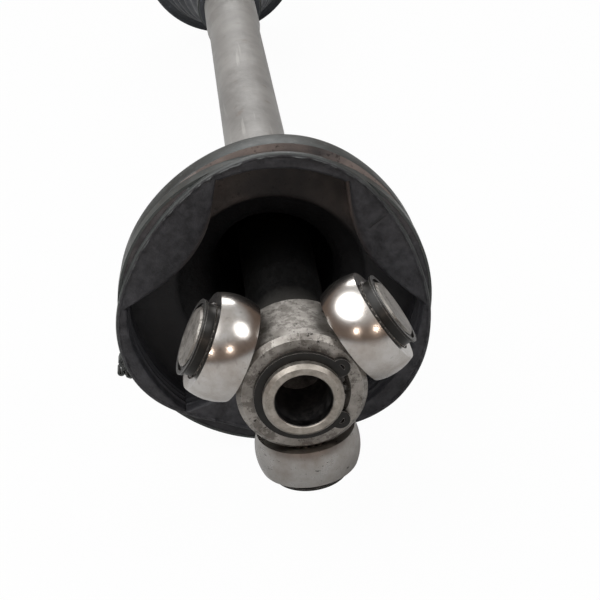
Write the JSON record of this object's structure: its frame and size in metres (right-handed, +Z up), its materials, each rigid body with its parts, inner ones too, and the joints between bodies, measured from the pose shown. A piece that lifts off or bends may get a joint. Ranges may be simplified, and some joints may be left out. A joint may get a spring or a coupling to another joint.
{
  "type": "half-shaft with tripod and ball joints",
  "caption": "Half-shaft with an open tripod joint on needle rollers in a lobed boot mouth, and a booted ball joint with a splined stub axle at the other end.",
  "frame": {"origin": "centre of the tripod, where the axes of its three arms meet the axis of the shaft", "axes": "+Y along the shaft from the tripod to the wheel end, +Z up with one arm of the tripod hanging straight down"},
  "size_m": [0.1145, 0.7052, 0.1133],
  "materials": {
    "bar_steel": "semi-matt grey coating over steel",
    "forged_steel": "machined and forged steel, worn",
    "bearing_steel": "ground and polished bearing steel",
    "spring_steel": "blackened spring steel",
    "rubber": "moulded black rubber",
    "band_steel": "thin strip steel, dull"
  },
  "bodies": {
    "shaft": {"drive_shaft": "bar_steel", "tripod_spider": "forged_steel", "spider_circlip": "spring_steel", "needle_retainer_1": "spring_steel", "needle_retainer_2": "spring_steel", "needle_retainer_3": "spring_steel", "trunnion_snap_ring_1": "spring_steel", "trunnion_snap_ring_2": "spring_steel", "trunnion_snap_ring_3": "spring_steel", "inner_boot": "rubber", "inner_boot_small_clamp": "band_steel", "inner_boot_large_clamp": "band_steel", "outer_boot": "rubber", "outer_boot_small_clamp": "band_steel", "inner_race": "forged_steel", "inner_race_ring": "spring_steel"},
    "bell": {"outer_race": "forged_steel", "outer_boot_large_clamp": "band_steel"},
    "cage": {"ball_cage": "forged_steel", "ball_1": "bearing_steel", "ball_2": "bearing_steel", "ball_3": "bearing_steel", "ball_4": "bearing_steel", "ball_5": "bearing_steel", "ball_6": "bearing_steel"},
    "needles_1": {"needle_rollers_1": "bearing_steel"},
    "roller_1": {"roller_1": "bearing_steel"},
    "needles_2": {"needle_rollers_2": "bearing_steel"},
    "roller_2": {"roller_2": "bearing_steel"},
    "needles_3": {"needle_rollers_3": "bearing_steel"},
    "roller_3": {"roller_3": "bearing_steel"}
  },
  "joints": [
    {"name": "roller_1_turn", "type": "hinge", "parent": "shaft", "child": "needles_1", "pos_m": [0, 0, 0], "axis": [0, 0, -1], "continuous": true},
    {"name": "roller_1_slide", "type": "slide", "parent": "needles_1", "child": "roller_1", "axis": [0, 0, -1], "range_m": [0, 0.003]},
    {"name": "roller_2_turn", "type": "hinge", "parent": "shaft", "child": "needles_2", "pos_m": [0, 0, 0], "axis": [0.866, 0, 0.5], "continuous": true},
    {"name": "roller_2_slide", "type": "slide", "parent": "needles_2", "child": "roller_2", "axis": [0.866, 0, 0.5], "range_m": [0, 0.003]},
    {"name": "roller_3_turn", "type": "hinge", "parent": "shaft", "child": "needles_3", "pos_m": [0, 0, 0], "axis": [-0.866, 0, 0.5], "continuous": true},
    {"name": "roller_3_slide", "type": "slide", "parent": "needles_3", "child": "roller_3", "axis": [-0.866, 0, 0.5], "range_m": [0, 0.003]},
    {"name": "bell_swing", "type": "hinge", "parent": "shaft", "child": "bell", "pos_m": [0, 0.562, 0], "axis": [0, 0, 1], "range_deg": [-45, 45], "deforming": ["outer_boot"]},
    {"name": "cage_swing", "type": "hinge", "parent": "shaft", "child": "cage", "pos_m": [0, 0.562, 0], "axis": [0, 0, 1], "range_deg": [-22.5, 22.5]}
  ],
  "couplings": [
    {"joint": "cage_swing", "follows": "bell_swing", "ratio": 0.5}
  ]
}
